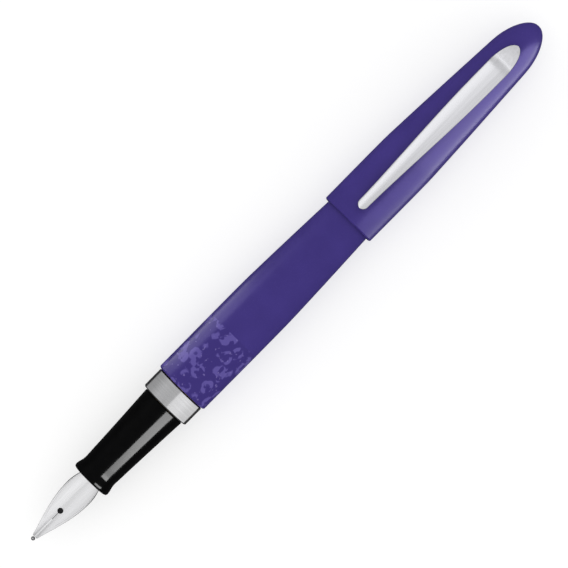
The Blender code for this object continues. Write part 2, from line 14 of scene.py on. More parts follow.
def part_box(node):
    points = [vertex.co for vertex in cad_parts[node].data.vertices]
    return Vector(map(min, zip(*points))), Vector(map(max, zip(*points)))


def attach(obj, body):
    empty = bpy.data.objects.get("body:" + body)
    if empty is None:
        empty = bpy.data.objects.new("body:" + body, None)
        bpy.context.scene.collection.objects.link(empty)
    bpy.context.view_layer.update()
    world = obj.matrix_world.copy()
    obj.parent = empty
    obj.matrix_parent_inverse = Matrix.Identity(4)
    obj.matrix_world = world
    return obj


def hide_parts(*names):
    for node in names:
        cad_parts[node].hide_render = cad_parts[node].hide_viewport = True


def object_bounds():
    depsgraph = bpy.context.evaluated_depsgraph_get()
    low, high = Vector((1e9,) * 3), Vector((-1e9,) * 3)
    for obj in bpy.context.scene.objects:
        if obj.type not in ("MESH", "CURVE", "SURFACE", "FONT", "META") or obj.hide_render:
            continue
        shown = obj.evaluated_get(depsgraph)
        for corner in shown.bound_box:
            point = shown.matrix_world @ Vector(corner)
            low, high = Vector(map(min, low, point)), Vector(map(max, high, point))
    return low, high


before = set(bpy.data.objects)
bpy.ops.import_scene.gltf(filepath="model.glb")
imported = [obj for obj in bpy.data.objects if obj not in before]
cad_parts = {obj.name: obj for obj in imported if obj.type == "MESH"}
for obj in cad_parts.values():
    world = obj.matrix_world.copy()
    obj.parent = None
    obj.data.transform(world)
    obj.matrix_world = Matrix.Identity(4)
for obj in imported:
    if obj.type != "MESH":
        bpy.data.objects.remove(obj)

MM = 0.001
QUARTER_TURN = math.pi / 2
ROUND_SIDES = 144
SMALL_SIDES = 96
SHARP_ANGLE = math.radians(38)

CAD_LOW, CAD_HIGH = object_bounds()
POINT_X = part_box("nib_tipping")[0].x
AXIS_Z = (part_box("cap_shell")[0].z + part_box("cap_shell")[1].z) / 2


def along(station):
    """The x coordinate of a station."""
    return POINT_X + station * MM


def station_of(x):
    return (x - POINT_X) / MM


def span(node):
    """The stations where a CAD node starts and ends."""
    low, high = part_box(node)
    return station_of(low.x), station_of(high.x)


def reach(node):
    """The largest radius of a turned CAD node, in millimetres."""
    low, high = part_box(node)
    return (high.y - low.y) / 2 / MM


def spread_out(start, end, count):
    return [start + (end - start) * i / (count - 1) for i in range(count)]


def eased(share):
    """A share from 0 to 1 that starts and ends gently."""
    share = min(1.0, max(0.0, share))
    return share * share * (3 - 2 * share)


# ---------------------------------------------------------------- nodes for materials

class Shader:
    """A Principled material and short ways to add procedural nodes to it."""

    def __init__(self, name, colour, roughness, metallic=0.0, **fixed):
        self.material = bpy.data.materials.new(name)
        self.material.use_nodes = True
        self.tree = self.material.node_tree
        self.bsdf = self.tree.nodes["Principled BSDF"]
        self.bsdf.inputs["Base Color"].default_value = (*colour, 1.0)
        self.bsdf.inputs["Roughness"].default_value = roughness
        self.bsdf.inputs["Metallic"].default_value = metallic
        for label, value in fixed.items():
            self.bsdf.inputs[label.replace("_", " ")].default_value = value
        self.place = self.add("ShaderNodeTexCoord").outputs["Object"]

    def add(self, kind, **settings):
        node = self.tree.nodes.new(kind)
        for label, value in settings.items():
            setattr(node, label, value)
        return node

    def link(self, output, target):
        self.tree.links.new(output, target)

    def stretched(self, x, y, z):
        """Object coordinates scaled along each axis."""
        mapping = self.add("ShaderNodeMapping")
        mapping.inputs["Scale"].default_value = (x, y, z)
        self.link(self.place, mapping.inputs["Vector"])
        return mapping.outputs["Vector"]

    def noise_node(self, scale, detail, rough=0.5, where=None):
        """Noise with a scale in waves per metre, at object coordinates unless others are given."""
        noise = self.add("ShaderNodeTexNoise")
        noise.inputs["Scale"].default_value = scale
        noise.inputs["Detail"].default_value = detail
        noise.inputs["Roughness"].default_value = rough
        self.link(self.place if where is None else where, noise.inputs["Vector"])
        return noise

    def noise(self, scale, detail, rough=0.5, where=None):
        return self.noise_node(scale, detail, rough, where).outputs["Fac"]

    def ramp(self, value, stops):
        """A colour ramp from a list of (position, colour)."""
        ramp = self.add("ShaderNodeValToRGB")
        fill_ramp(ramp, stops)
        self.link(value, ramp.inputs["Fac"])
        return ramp.outputs["Color"]

    def spread(self, value, low, high, start=0.3, end=0.7):
        """A value between start and end, mapped to low and high."""
        mapped = self.add("ShaderNodeMapRange")
        for label, number in (("From Min", start), ("From Max", end), ("To Min", low), ("To Max", high)):
            mapped.inputs[label].default_value = number
        self.link(value, mapped.inputs["Value"])
        return mapped.outputs["Result"]

    def mix(self, factor, one, two):
        """Mix two colours, each a colour or a socket."""
        node = self.add("ShaderNodeMix", data_type="RGBA")
        self.link(factor, node.inputs["Factor"])
        for slot, value in ((node.inputs["A"], one), (node.inputs["B"], two)):
            if isinstance(value, tuple):
                slot.default_value = (*value, 1.0)
            else:
                self.link(value, slot)
        return node.outputs["Result"]

    def bump(self, height, strength, depth):
        """Raise the surface by a height, with a depth in millimetres."""
        bump = self.add("ShaderNodeBump")
        bump.inputs["Strength"].default_value = strength
        bump.inputs["Distance"].default_value = depth * MM
        self.link(height, bump.inputs["Height"])
        self.link(bump.outputs["Normal"], self.bsdf.inputs["Normal"])

    def colour(self, socket):
        self.link(socket, self.bsdf.inputs["Base Color"])

    def roughness(self, socket):
        self.link(socket, self.bsdf.inputs["Roughness"])


def fill_ramp(ramp, stops):
    elements = ramp.color_ramp.elements
    while len(elements) < len(stops):
        elements.new(0.5)
    for element, (position, colour) in zip(elements, stops):
        element.position = position
        element.color = (*colour, 1.0)


def scaled(colour, factor):
    return tuple(part * factor for part in colour)


# ---------------------------------------------------------------- lacquer

# Linear colours.
VIOLET = (0.0495, 0.0315, 0.216)
VIOLET_DEEP = (0.0430, 0.0275, 0.188)
PEARL = (0.11, 0.08, 0.33)
BAND_LIGHT = (0.108, 0.081, 0.325)
BAND_HEART = (0.056, 0.039, 0.218)
BAND_SPECK = (0.26, 0.21, 0.52)
LACQUER_SHINE = (0.6, 0.54, 1.0, 1.0)

BAND_LENGTH = 15.8
BAND_EDGE = 0.05
BAND_WOBBLE = 1.6

# Where one tone of a band's patch ends and the next begins, in shares of a cell's size.
HEART_END, LIGHT_START = 0.15, 0.22
LIGHT_END, DARK_START = 0.45, 0.52


def lacquer(name, banded):
    """Violet lacquer over brass: a fine pearl in the colour and a little orange peel."""
    shader = Shader(name, VIOLET, roughness=0.3, Specular_IOR_Level=0.48, Specular_Tint=LACQUER_SHINE,
                    Coat_Weight=0.06, Coat_Roughness=0.12, Coat_IOR=1.4)
    clouds = shader.noise(scale=140.0, detail=2.0)
    pearl = shader.noise(scale=5200.0, detail=2.0, rough=0.7)
    tone = shader.mix(shader.spread(clouds, 0.0, 1.0), VIOLET_DEEP, VIOLET)
    tone = shader.mix(shader.spread(pearl, 0.0, 0.35, start=0.58, end=0.8), tone, PEARL)
    if banded:
        tone = shader.mix(band_mask(shader), tone, band_pattern(shader))
    shader.colour(tone)
    # The roughness stays above 0.275. Where it crosses that value, the denoiser draws faint outlines.
    shader.roughness(shader.spread(clouds, 0.28, 0.33))
    peel = shader.noise(scale=900.0, detail=2.0)
    shader.bump(peel, strength=0.10, depth=0.02)
    return shader.material


def band_mask(shader):
    """One along the barrel's front, nothing behind it."""
    parts = shader.add("ShaderNodeSeparateXYZ")
    shader.link(shader.place, parts.inputs["Vector"])
    end = along(span("barrel_shell")[0] + BAND_LENGTH)
    return shader.spread(parts.outputs["X"], 1.0, 0.0, end - BAND_EDGE * MM, end + BAND_EDGE * MM)


def band_pattern(shader):
    """Irregular lighter patches with darker hearts and broken edges, on dark violet."""
    cells = shader.add("ShaderNodeTexVoronoi", feature="F1")
    cells.inputs["Scale"].default_value = 330.0
    cells.inputs["Randomness"].default_value = 0.9
    shader.link(wobbled(shader), cells.inputs["Vector"])
    patch = shader.ramp(cells.outputs["Distance"], [
        (0.0, BAND_HEART), (HEART_END, BAND_HEART), (LIGHT_START, BAND_LIGHT),
        (LIGHT_END, BAND_LIGHT), (DARK_START, VIOLET_DEEP), (1.0, VIOLET_DEEP)])
    breaks = shader.noise(scale=520.0, detail=2.0)
    tone = shader.mix(shader.spread(breaks, 0.0, 1.0, start=0.53, end=0.58), patch, VIOLET_DEEP)
    specks = shader.noise(scale=1300.0, detail=1.0)
    return shader.mix(shader.spread(specks, 0.0, 0.5, start=0.68, end=0.76), tone, BAND_SPECK)


def wobbled(shader):
    """Object coordinates moved about a little, so that the cells lose their straight sides."""
    wobble = shader.noise_node(scale=420.0, detail=2.0)
    offset = shader.add("ShaderNodeVectorMath", operation="SCALE")
    offset.inputs["Scale"].default_value = BAND_WOBBLE * MM
    shader.link(wobble.outputs["Color"], offset.inputs["Vector"])
    moved = shader.add("ShaderNodeVectorMath", operation="ADD")
    shader.link(shader.place, moved.inputs[0])
    shader.link(offset.outputs["Vector"], moved.inputs[1])
    return moved.outputs["Vector"]


# ---------------------------------------------------------------- metals and plastics

def brushed_steel(name, colour, roughness, grain, strength):
    """Steel with fine lines along the pen."""
    shader = Shader(name, colour, roughness, metallic=1.0)
    lines = shader.noise(grain, detail=4.0, rough=0.6, where=shader.stretched(0.02, 1.0, 1.0))
    shader.roughness(shader.spread(lines, roughness * 0.75, roughness * 1.35))
    shader.colour(shader.mix(shader.spread(lines, 0.0, 1.0), scaled(colour, 0.9), colour))
    shader.bump(lines, strength, depth=0.01)
    return shader.material


def turned_metal(name, colour, roughness, grain=2600.0, strength=0.15):
    """Metal with the fine rings that a lathe leaves round the axis."""
    shader = Shader(name, colour, roughness, metallic=1.0)
    rings = shader.noise(grain, detail=3.0, rough=0.6, where=shader.stretched(1.0, 0.03, 0.03))
    shader.roughness(shader.spread(rings, roughness * 0.7, roughness * 1.4))
    shader.colour(shader.mix(shader.spread(rings, 0.0, 1.0), scaled(colour, 0.86), colour))
    shader.bump(rings, strength, depth=0.01)
    return shader.material


def moulded(name, colour, roughness, grain=1800.0, strength=0.2, **fixed):
    """Moulded plastic with a fine even grain."""
    shader = Shader(name, colour, roughness, **fixed)
    grains = shader.noise(grain, detail=3.0)
    broad = shader.noise(scale=160.0, detail=2.0)
    shader.roughness(shader.spread(broad, roughness * 0.85, roughness * 1.2))
    lighter = tuple(min(1.0, part * 1.25 + 0.0005) for part in colour)
    shader.colour(shader.mix(shader.spread(grains, 0.0, 1.0), colour, lighter))
    shader.bump(grains, strength, depth=0.01)
    return shader.material


def clear_plastic(name):
    shader = Shader(name, (0.93, 0.95, 0.96), roughness=0.05, Transmission_Weight=0.95, IOR=1.49)
    flow = shader.noise(scale=420.0, detail=2.0, where=shader.stretched(0.2, 1.0, 1.0))
    shader.roughness(shader.spread(flow, 0.03, 0.08))
    shader.bump(flow, strength=0.08, depth=0.02)
    return shader.material


MATERIALS = {
    "lacquer": lacquer("violet_lacquer_plain", banded=False),
    "banded": lacquer("violet_lacquer_banded", banded=True),
    "clip": brushed_steel("clip_steel", (0.80, 0.80, 0.83), 0.20, grain=1500.0, strength=0.06),
    "ring": turned_metal("ring_steel", (0.80, 0.80, 0.81), 0.14, strength=0.05),
    "collar": turned_metal("collar_steel", (0.74, 0.74, 0.76), 0.2),
    "nib": brushed_steel("nib_sheet_steel", (0.78, 0.78, 0.79), 0.20, grain=2200.0, strength=0.06),
    "tipping": turned_metal("tipping_metal", (0.82, 0.82, 0.83), 0.2, grain=5000.0),
    "grip": moulded("grip_plastic", (0.001, 0.001, 0.0011), 0.13, grain=700.0, strength=0.03,
                    Specular_IOR_Level=0.15),
    "knob": moulded("knob_plastic", (0.010, 0.010, 0.011), 0.3),
    "feed": moulded("feed_plastic", (0.012, 0.012, 0.013), 0.42),
    "liner": moulded("liner_plastic", (0.016, 0.016, 0.018), 0.45),
    "grey": moulded("grey_moulding", (0.30, 0.30, 0.32), 0.38),
    "white": moulded("seal_plastic", (0.80, 0.80, 0.77), 0.42),
    "brass": turned_metal("turned_brass", (0.78, 0.57, 0.26), 0.26),
    "clear": clear_plastic("clear_tube_plastic"),
}


# ---------------------------------------------------------------- outlines of turned pieces

OFF_AXIS = 0.01 * MM
SAME_TURN = math.radians(1)
MICRON_DIGITS = 6


def meridian(node):
    """The outline of a turned CAD node as ordered (x, radius) points, read along its underside.

    A closed end starts and ends on the axis. A tube's wall comes back to where it started, and
    then the second value returned is True.
    """
    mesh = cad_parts[node].data
    radii = {v.index: math.hypot(v.co.y, v.co.z - AXIS_Z) for v in mesh.vertices}
    turns = {v.index: math.atan2(v.co.z - AXIS_Z, v.co.y) for v in mesh.vertices
             if radii[v.index] > OFF_AXIS}
    lowest = min(turns.values(), key=lambda turn: abs(turn + QUARTER_TURN))
    points = {v.index: (round(v.co.x, MICRON_DIGITS), round(radii[v.index], MICRON_DIGITS))
              for v in mesh.vertices
              if abs(turns.get(v.index, lowest) - lowest) < SAME_TURN}
    joined = {}
    for edge in mesh.edges:
        one, two = (points.get(index) for index in edge.vertices)
        if one and two and one != two:
            joined.setdefault(one, set()).add(two)
            joined.setdefault(two, set()).add(one)
    ends = sorted(point for point in joined if len(joined[point]) == 1)
    walk = [ends[0] if ends else min(joined)]
    while True:
        onward = [point for point in sorted(joined[walk[-1]]) if point not in walk]
        if not onward:
            return walk, not ends
        walk.append(onward[0])


CORNER = math.radians(24)
STRAIGHT = 0.999999
FILLET = 0.12
LONGEST_TRIM = 0.4
CURVE_STEPS = 6
FILLET_STEPS = 4
CLOSEST = 0.002 * MM


def turn_at(before, here, after):
    """How sharply an outline turns at a point."""
    one = math.atan2(here[1] - before[1], here[0] - before[0])
    two = math.atan2(after[1] - here[1], after[0] - here[0])
    return abs((two - one + math.pi) % (2 * math.pi) - math.pi)


def corners_of(outline, closed):
    """For each point of an outline, whether it is a corner. Open ends count as corners."""
    count = len(outline)
    found = []
    for i in range(count):
        open_end = not closed and i in (0, count - 1)
        turn = turn_at(outline[i - 1], outline[i], outline[(i + 1) % count])
        found.append(open_end or turn > CORNER)
    return found


def trimmed(one, two, cut_start, cut_end, fillet):
    """The ends of a straight stretch, moved in where a fillet takes its place."""
    trim = min(fillet * MM, (two - one).length * LONGEST_TRIM)
    aim = (two - one).normalized()
    return one + aim * trim if cut_start else one, two - aim * trim if cut_end else two


def curve(start, end, ahead, lead, trail):
    """Points from start to end on a smooth curve that leaves along lead and arrives along trail."""
    length = (end - start).length
    straight = lead.dot(ahead) > STRAIGHT and trail.dot(ahead) > STRAIGHT
    pieces = 1 if straight else CURVE_STEPS
    made = []
    for n in range(pieces + 1):
        t = n / pieces
        from_start, leaving = 2 * t**3 - 3 * t**2 + 1, t**3 - 2 * t**2 + t
        from_end, arriving = -2 * t**3 + 3 * t**2, t**3 - t**2
        made.append(start * from_start + lead * length * leaving
                    + end * from_end + trail * length * arriving)
    return made


def rounded_off(start, corner, end):
    """Points between two stretches, curving round the corner where they would have met."""
    made = []
    for n in range(1, FILLET_STEPS):
        t = n / FILLET_STEPS
        made.append(start * (1 - t)**2 + corner * 2 * t * (1 - t) + end * t**2)
    return made


def spaced(points, closed):
    """The points without any that lies on the one before it."""
    kept = [points[0]]
    for point in points[1:]:
        if (point - kept[-1]).length > CLOSEST:
            kept.append(point)
    if closed and (kept[0] - kept[-1]).length < CLOSEST:
        kept.pop()
    return kept


def refined(outline, closed, fillet=FILLET):
    """The outline with its corners rounded and its gentle bends drawn as one smooth curve."""
    count = len(outline)
    vectors = [Vector(point) for point in outline]
    corner = corners_of(outline, closed)

    def filleted(i):
        return corner[i] and (closed or 0 < i < count - 1)

    def aim(i, j):
        return (vectors[j % count] - vectors[i % count]).normalized()

    pairs = [(i, (i + 1) % count) for i in range(count if closed else count - 1)]
    stretches = [trimmed(vectors[i], vectors[j], filleted(i), filleted(j), fillet) for i, j in pairs]
    points = []
    for i, j in pairs:
        start, end = stretches[i]
        ahead = aim(i, j)
        lead = ahead if corner[i] else aim(i - 1, j)
        trail = ahead if corner[j] else aim(i, j + 1)
        points += curve(start, end, ahead, lead, trail)
        if filleted(j):
            points += rounded_off(end, vectors[j], stretches[j][0])
    return spaced(points, closed)


def subdivided(outline, closed, low, high, step):
    """The outline with extra points, a step apart, where it runs between two x coordinates."""
    made = []
    pairs = list(zip(outline, outline[1:]))
    if closed:
        pairs.append((outline[-1], outline[0]))
    for one, two in pairs:
        made.append(one)
        inside = min(one.x, two.x) >= low - CLOSEST and max(one.x, two.x) <= high + CLOSEST
        pieces = max(1, round((two - one).length / step)) if inside else 1
        made += [one.lerp(two, n / pieces) for n in range(1, pieces)]
    if not closed:
        made.append(outline[-1])
    return made


# ---------------------------------------------------------------- meshes

def join_rows(bm, one, two, sides):
    for i in range(sides):
        j = (i + 1) % sides
        if len(one) == 1 and len(two) == 1:
            return
        if len(one) == 1:
            bm.faces.new((one[0], two[j], two[i]))
        elif len(two) == 1:
            bm.faces.new((one[i], one[j], two[0]))
        else:
            bm.faces.new((one[i], one[j], two[j], two[i]))


def to_object(name, bm, material):
    bmesh.ops.recalc_face_normals(bm, faces=bm.faces)
    mesh = bpy.data.meshes.new(name)
    bm.to_mesh(mesh)
    bm.free()
    mesh.materials.append(MATERIALS[material])
    mesh.shade_smooth()
    mesh.set_sharp_from_angle(angle=SHARP_ANGLE)
    piece = bpy.data.objects.new(name, mesh)
    bpy.context.collection.objects.link(piece)
    return piece


def spun(name, outline, closed, material, sides, shape=None):
    """Turn an outline about the pen's axis. shape may change a radius by x and angle."""
    bm = bmesh.new()
    rows = []
    for point in outline:
        if point.y < CLOSEST:
            rows.append([bm.verts.new((point.x, 0.0, AXIS_Z))])
            continue
        row = []
        for i in range(sides):
            angle = 2 * math.pi * i / sides
            radius = shape(point.x, point.y, angle) if shape else point.y
            row.append(bm.verts.new((point.x, radius * math.cos(angle),
                                     AXIS_Z + radius * math.sin(angle))))
        rows.append(row)
    pairs = list(zip(rows, rows[1:]))
    if closed:
        pairs.append((rows[-1], rows[0]))
    for one, two in pairs:
        join_rows(bm, one, two, sides)
    return to_object(name, bm, material)


def lofted(name, rings, material):
    """Join closed rings of (station, y, z) points, in millimetres from the axis, into one body."""
    bm = bmesh.new()
    loops = [[bm.verts.new((along(s), y * MM, AXIS_Z + z * MM)) for s, y, z in ring]
             for ring in rings]
    for one, two in zip(loops, loops[1:]):
        join_rows(bm, one, two, len(one))
    for loop in (loops[0], loops[-1]):
        bm.faces.new(loop)
    return to_object(name, bm, material)


def box_tool(low, high):
    """A box between two corners (station, y, z), y and z from the pen's axis in millimetres."""
    bm = bmesh.new()
    bmesh.ops.create_cube(bm, size=1.0)
    size = [(b - a) * MM for a, b in zip(low, high)]
    middle = [(a + b) / 2 for a, b in zip(low, high)]
    bmesh.ops.scale(bm, vec=size, verts=bm.verts)
    place = (along(middle[0]), middle[1] * MM, AXIS_Z + middle[2] * MM)
    bmesh.ops.translate(bm, vec=place, verts=bm.verts)
    return to_object("tool", bm, "grey")


def carve(piece, tool, operation="DIFFERENCE"):
    """Cut a piece with a tool shape, or join the two, and keep the result as a plain mesh."""
    material = piece.data.materials[0]
    boolean = piece.modifiers.new("carve", "BOOLEAN")
    boolean.operation = operation
    boolean.solver = "EXACT"
    boolean.object = tool
    shaped = piece.evaluated_get(bpy.context.evaluated_depsgraph_get())
    mesh = bpy.data.meshes.new_from_object(shaped)
    piece.modifiers.clear()
    piece.data = mesh
    bpy.data.objects.remove(tool)
    mesh.materials.clear()
    mesh.materials.append(material)
    mesh.shade_smooth()
    mesh.set_sharp_from_angle(angle=SHARP_ANGLE)


def stands_for(piece, node, body):
    """Let a piece take a CAD node's place and body: the node is hidden, and the piece goes under the
    body.
    """
    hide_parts(node)
    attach(piece, body)
    return piece


def fine_turned(node, body, material, sides=SMALL_SIDES, fillet=FILLET):
    """A turned CAD node again, with the same outline drawn finely."""
    outline, closed = meridian(node)
    piece = spun(node + "_fine", refined(outline, closed, fillet), closed, material, sides)
    return stands_for(piece, node, body)


# ---------------------------------------------------------------- barrel, ring and grip

BARREL_FILLET = 0.05
RING_FILLET = 0.04
GRIP_FILLET = 0.08
WICK_SIDES = 48

THREAD_PITCH = 1.25
THREAD_DEPTH = 0.3
THREAD_START = span("barrel_shell")[0] + 0.3
SLEEVE_THREAD_END = THREAD_START + 6 * THREAD_PITCH
BUSH_THREAD_END = THREAD_START + 7 * THREAD_PITCH
THREAD_STEPS = 14
THREAD_MARGIN = 0.05
RIB_MARGIN = 0.02

# The margin that tells a threaded wall's plain side from its threaded one.
PLAIN_SIDE = 0.2

# The thread's profile, in shares of its pitch: half its crest, how much a flank rises over one
# pitch, and how long the thread takes to fade out.
CREST_HALF = 0.12
FLANK_RISE = 5.0
FADE = 0.6


def thread_height(x, angle, start, end):
    """A right-handed thread's height above its root, fading at both ends of the thread."""
    station = station_of(x)
    phase = (station / THREAD_PITCH - angle / (2 * math.pi)) % 1.0
    flank = max(0.0, min(1.0, 1 + FLANK_RISE * (CREST_HALF - abs(phase - 0.5))))
    fade = min(1.0, max(0.0, min(station - start, end - station)) / (FADE * THREAD_PITCH))
    return THREAD_DEPTH * MM * flank * fade


def without_ribs(outline, start, end, keep):
    """The outline without the thread's rings between two stations, where keep(radius) is false."""
    inside = [start + RIB_MARGIN < station_of(x) < end - RIB_MARGIN and not keep(r / MM)
              for x, r in outline]
    return [point for point, drop in zip(outline, inside) if not drop]


def threaded(node, body, end, keep, sign):
    """A CAD node with rings for a thread, drawn again with a helical thread.

    keep(radius) is true on the wall's plain side. sign is 1 for a thread outside and -1 inside.
    """
    outline, closed = meridian(node)
    plain = refined(without_ribs(outline, THREAD_START, end, keep), closed)
    low, high = along(THREAD_START - THREAD_MARGIN), along(end + THREAD_MARGIN)
    rows = subdivided(plain, closed, low, high, THREAD_PITCH * MM / THREAD_STEPS)

    def shape(x, radius, angle):
        if keep(radius / MM):
            return radius
        return radius + sign * thread_height(x, angle, THREAD_START, end)

    piece = spun(node + "_fine", rows, closed, "brass", SMALL_SIDES, shape)
    return stands_for(piece, node, body)


def make_barrel():
    fine_turned("barrel_shell", "barrel", "banded", ROUND_SIDES, BARREL_FILLET)
    bush_outside = reach("barrel_bush") - PLAIN_SIDE
    threaded("barrel_bush", "barrel", BUSH_THREAD_END, lambda r: r > bush_outside, -1)


def make_section():
    fine_turned("section_ring", "ring", "ring", ROUND_SIDES, RING_FILLET)
    fine_turned("grip_section", "section", "grip", ROUND_SIDES, GRIP_FILLET)
    sleeve_root = reach("section_sleeve") - THREAD_DEPTH - PLAIN_SIDE
    threaded("section_sleeve", "section", SLEEVE_THREAD_END, lambda r: r < sleeve_root, 1)
    fine_turned("nib_housing", "section", "liner")
    fine_turned("capillary_rod", "section", "white", WICK_SIDES)


# ---------------------------------------------------------------- nib

MOUTH = span("grip_section")[0]
HOUSING_FRONT = span("nib_housing")[0]

NIB_START, NIB_END = span("nib")
NIB_SHEET = 0.3
NIB_HALF_WIDTH = (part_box("nib")[1].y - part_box("nib")[0].y) / 2 / MM
NIB_TIP_HALF = 0.4
NIB_SHOULDER = 14.0
NIB_FLARE = 1.15
TAIL_INSET = 0.15

NIB_TAIL_RADIUS = (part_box("nib")[1].z - AXIS_Z) / MM
NIB_DROP = 1.75
DROP_START = 17.0
DROP_POWER = 1.4

NIB_FLATTEST = NIB_SHOULDER - 1.5
FLATTENING = 1.0
FLATTENING_REACH = 9.0
HOUSING_INSET = 0.3
WIDEST_WRAP = 0.98

BREATHER_STATION = 8.8
BREATHER_RADIUS = 0.65
SLIT_WIDTH = 0.13
SLIT_AT_TIP = 0.03
HOLE_SIDES = 48

# The tools that cut slit and hole run between these heights, and the slit's starts ahead of the tip.
TOOL_BOTTOM, TOOL_TOP = -1, 5
TOOL_LEAD = 1

GROOVE_INSET = 0.62
GROOVE_HALF = 0.1
GROOVE_DEPTH = 0.05
GROOVE_START = 4.2
GROOVE_FADE = 1.5

# Distances in from the sheet's edge, closest together at the engraved groove, and the half arc
# from which on the sheet is wide enough for all of them.
EDGE_STEPS = (0.0, 0.04, 0.1, 0.2, 0.34, 0.46, 0.52, 0.57, 0.62, 0.67, 0.72, 0.78, 0.9, 1.1, 1.4)
FULL_HALF_ARC = 2.2
INNER_STEPS = 7
EDGE_ROUNDING = 0.3
EDGE_ROUNDING_WIDTH = 0.1


def nib_crest(station):
    """The height of the sheet's middle line over the axis."""
    ahead = max(0.0, DROP_START - station) / DROP_START
    return NIB_TAIL_RADIUS - NIB_DROP * ahead ** DROP_POWER


def nib_curl(station):
    """The radius that the sheet is bent to: largest near the shoulder, and the housing's in its tail."""
    behind = HOUSING_FRONT - HOUSING_INSET - NIB_FLATTEST
    room = FLATTENING_REACH if station < NIB_FLATTEST else behind
    bump = max(0.0, 1 - abs(station - NIB_FLATTEST) / room)
    return NIB_TAIL_RADIUS + FLATTENING * math.sin(QUARTER_TURN * bump)


def nib_half_width(station):
    if station <= NIB_SHOULDER:
        share = math.sin(QUARTER_TURN * station / NIB_SHOULDER)
        return NIB_TIP_HALF + (NIB_HALF_WIDTH - NIB_TIP_HALF) * share ** NIB_FLARE
    tail_half = NIB_TAIL_RADIUS - TAIL_INSET
    settle = min(1.0, (station - NIB_SHOULDER) / (MOUTH - NIB_SHOULDER))
    return NIB_HALF_WIDTH + (tail_half - NIB_HALF_WIDTH) * settle ** 2


def nib_row(station, outer, grooved):
    """Points across the outer or inner face of the bent sheet, with or without the groove."""
    curl = nib_curl(station)
    centre = nib_crest(station) - curl
    half_angle = math.asin(min(WIDEST_WRAP, nib_half_width(station) / curl))
    half_arc = curl * half_angle
    scale = min(1.0, half_arc / FULL_HALF_ARC)
    from_edge = [step * scale for step in EDGE_STEPS]
    from_edge += spread_out(from_edge[-1], half_arc, INNER_STEPS)[1:]
    fade = min(1.0, max(0.0, (station - GROOVE_START) / GROOVE_FADE))
    depth = GROOVE_DEPTH * fade * scale if grooved else 0.0
    side = []
    for distance in from_edge:
        angle = half_angle * (1 - distance / half_arc)
        rounding = NIB_SHEET * EDGE_ROUNDING * max(0.0, 1 - distance / EDGE_ROUNDING_WIDTH) ** 2
        dip = depth * max(0.0, 1 - abs(distance - GROOVE_INSET * scale) / GROOVE_HALF)
        side.append((angle, curl - dip - rounding if outer else curl - NIB_SHEET + rounding))
    across = [(-angle, radius) for angle, radius in side]
    across += [(angle, radius) for angle, radius in reversed(side[:-1])]
    return [(station, r * math.sin(a), centre + r * math.cos(a)) for a, r in across]


def slit_tool():
    """A thin wedge, so that the slit closes towards the tip."""
    rings = []
    for station, half in ((NIB_START - TOOL_LEAD, SLIT_AT_TIP / 2), (BREATHER_STATION, SLIT_WIDTH / 2)):
        rings.append([(station, half, TOOL_BOTTOM), (station, half, TOOL_TOP),
                      (station, -half, TOOL_TOP), (station, -half, TOOL_BOTTOM)])
    return lofted("tool", rings, "grey")


def breather_tool():
    bm = bmesh.new()
    bmesh.ops.create_cone(bm, cap_ends=True, segments=HOLE_SIDES, radius1=BREATHER_RADIUS * MM,
                          radius2=BREATHER_RADIUS * MM, depth=(TOOL_TOP - TOOL_BOTTOM) * MM)
    place = (along(BREATHER_STATION), 0.0, AXIS_Z + NIB_TAIL_RADIUS * MM)
    bmesh.ops.translate(bm, verts=bm.verts, vec=place)
    return to_object("tool", bm, "grey")


def make_nib():
    stations = spread_out(NIB_START, NIB_SHOULDER, count=60)
    stations += spread_out(NIB_SHOULDER, HOUSING_FRONT, count=22)[1:]
    stations += spread_out(HOUSING_FRONT, NIB_END, count=6)[1:]
    rings = []
    for station in stations:
        outer = nib_row(station, outer=True, grooved=station < HOUSING_FRONT)
        inner = nib_row(station, outer=False, grooved=False)
        rings.append(outer + list(reversed(inner)))
    nib = lofted("nib_fine", rings, "nib")
    carve(nib, slit_tool())
    carve(nib, breather_tool())
    stands_for(nib, "nib", "section")


def make_tipping():
    low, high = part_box("nib_tipping")
    bm = bmesh.new()
    bmesh.ops.create_uvsphere(bm, u_segments=32, v_segments=20, radius=0.5)
    bmesh.ops.scale(bm, vec=(high - low), verts=bm.verts)
    bmesh.ops.translate(bm, vec=(low + high) / 2, verts=bm.verts)
    stands_for(to_object("nib_tipping_fine", bm, "tipping"), "nib_tipping", "section")


# ---------------------------------------------------------------- feed

FEED_START, FEED_END = span("feed")
FEED_GAP = 0.15
FEED_WIDEST_HALF = 2.4
FEED_NIB_MARGIN = 0.45
FEED_WIDEST_SHARE = 0.96
FEED_CHEEK = 0.12
FEED_BELLY = -2.85
BELLY_RISE = 3.4
BELLY_POWER = 1.6
TOP_POINTS = 17
BELLY_POINTS = 25

FIN_COUNT = 12
FIN_PITCH = 0.66
FIN_DEPTH = 0.6
FIN_FIRST = 9.0
FIN_LEAD = 0.2
FIN_WALL = 0.02


def feed_ring(station, grooved):
    """A section of the feed: it follows the nib above, and is a half ellipse below."""
    radius = nib_curl(station) - NIB_SHEET - FEED_GAP
    centre = nib_crest(station) - nib_curl(station)
    nib_room = nib_half_width(station) - FEED_NIB_MARGIN
    half = min(radius * FEED_WIDEST_SHARE, nib_room, FEED_WIDEST_HALF)
    top = [(station, y, centre + math.sqrt(radius * radius - y * y))
           for y in spread_out(-half, half, TOP_POINTS)]
    cheek = top[0][2] - FEED_CHEEK
    ahead = max(0.0, MOUTH - station) / (MOUTH - FEED_START)
    belly = FEED_BELLY + BELLY_RISE * ahead ** BELLY_POWER + (FIN_DEPTH if grooved else 0.0)
    below = [(station, half * math.cos(angle), cheek - (cheek - belly) * math.sin(angle))
             for angle in spread_out(0.0, math.pi, BELLY_POINTS)]
    return top + below


